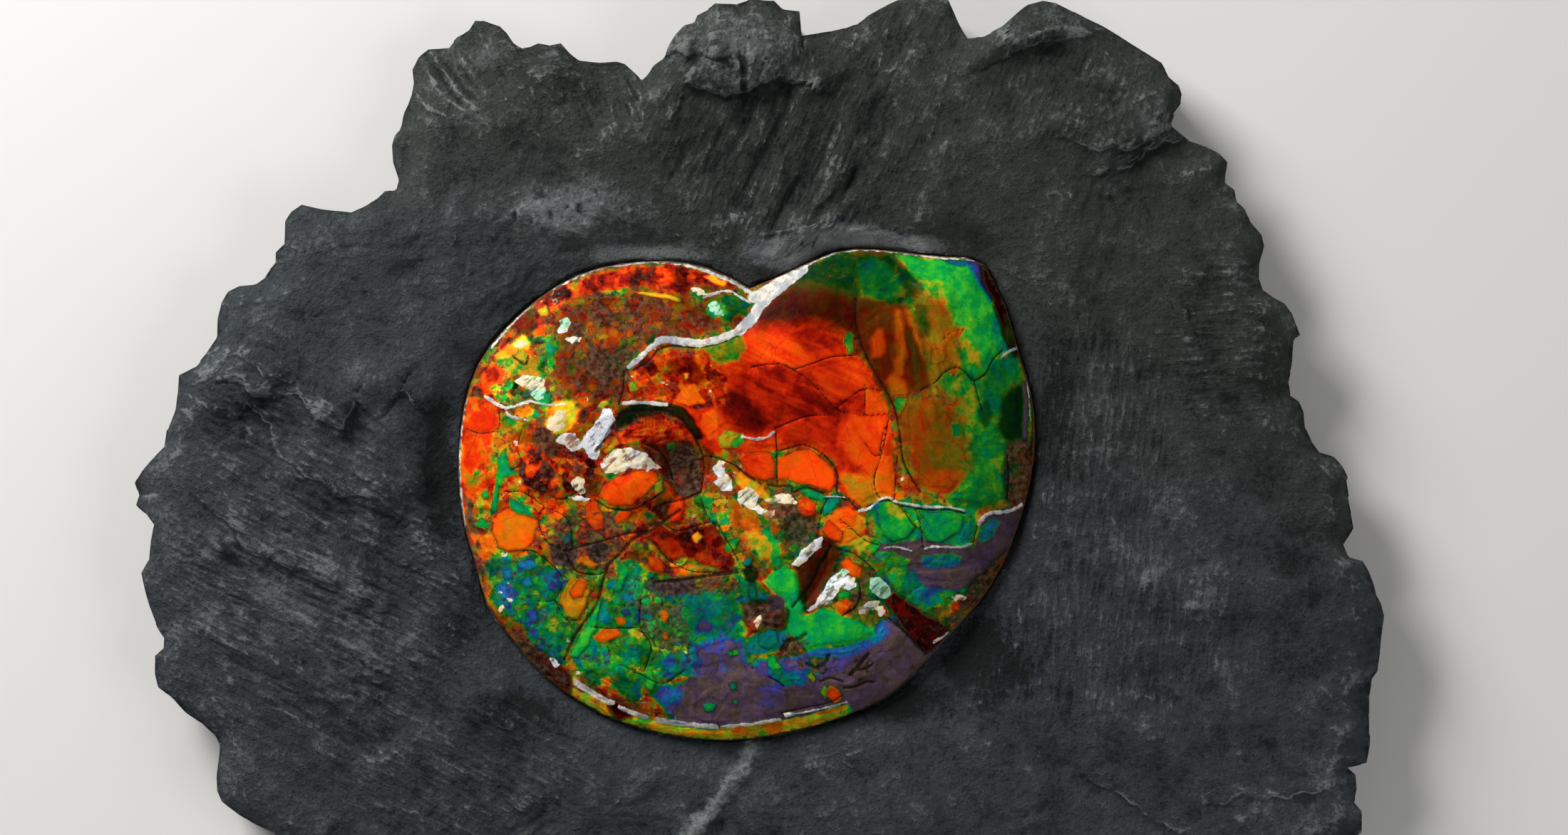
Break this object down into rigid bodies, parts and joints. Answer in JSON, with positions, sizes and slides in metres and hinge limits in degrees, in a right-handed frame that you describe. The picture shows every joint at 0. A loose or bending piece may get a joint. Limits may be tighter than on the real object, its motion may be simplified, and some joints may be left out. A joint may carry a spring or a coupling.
{
  "type": "ammolite specimen",
  "caption": "Fossil ammonite with iridescent nacre, lying face up in a flat-backed slab of broken dark shale.",
  "frame": {"origin": "middle of the slab's flat back, which is z = 0", "axes": "+Z out of the slab's face, +Y towards the end where the shell opens, +X to the right"},
  "size_m": [0.617, 0.4878, 0.0527],
  "materials": {
    "shale": "matte",
    "nacre": "gloss"
  },
  "bodies": {
    "root": {"shale_matrix": "shale", "ammonite": "nacre"}
  },
  "joints": []
}
